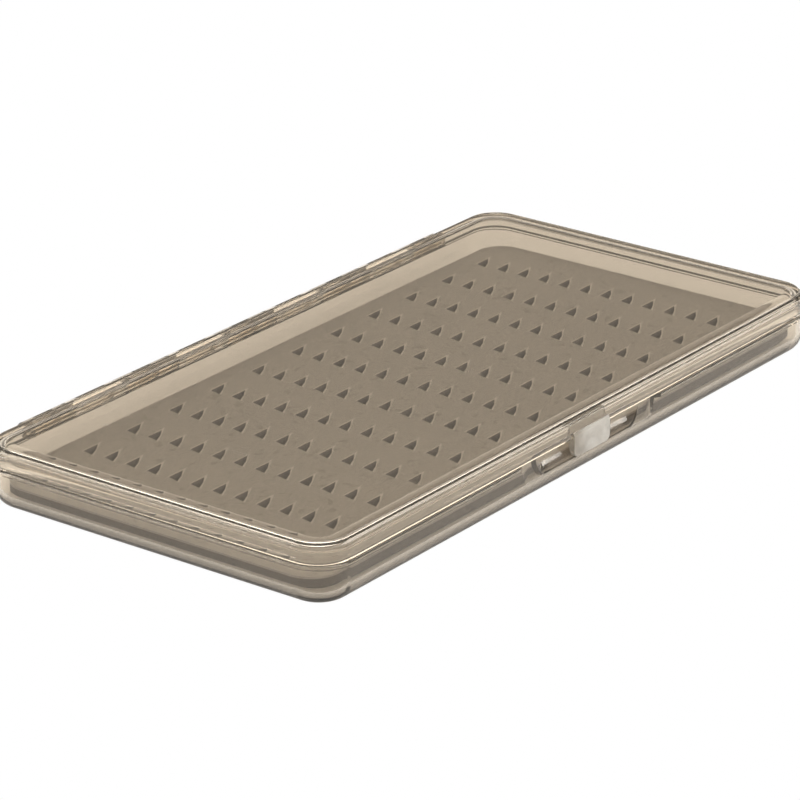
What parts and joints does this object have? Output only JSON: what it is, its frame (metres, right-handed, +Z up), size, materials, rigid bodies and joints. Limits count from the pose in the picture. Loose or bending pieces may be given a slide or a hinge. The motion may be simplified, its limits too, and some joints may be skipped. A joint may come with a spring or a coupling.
{
  "type": "fly box",
  "caption": "Slim clear fly box: a shallow tray with a slit silicone mat, a stepped lid on a full-length pin hinge, and a moulded snap tab in a thumb scoop.",
  "frame": {"origin": "under the middle of the closed box's bounding box, hinge knuckles included, on the underside of the tray", "axes": "+X along the hinge and the long side, +Y from the latch towards the hinge, +Z up from the underside to the lid"},
  "size_m": [0.187, 0.1002, 0.0146],
  "materials": {
    "tray_plastic": "clear smoke-tinted polished moulding",
    "lid_plastic": "clear smoke-tinted polished moulding",
    "pin_steel": "bright drawn wire",
    "mat_silicone": "matt taupe silicone",
    "adhesive_film": "translucent double-sided tape"
  },
  "bodies": {
    "tray": {"base_shell": "tray_plastic", "slit_mat": "mat_silicone", "mat_adhesive": "adhesive_film", "hinge_pin": "pin_steel"},
    "lid": {"lid_shell": "lid_plastic"}
  },
  "joints": [
    {"name": "lid_hinge", "type": "hinge", "parent": "tray", "child": "lid", "pos_m": [0, 0.0478, 0.00985], "axis": [-1, 0, 0], "range_deg": [0, 180]}
  ]
}
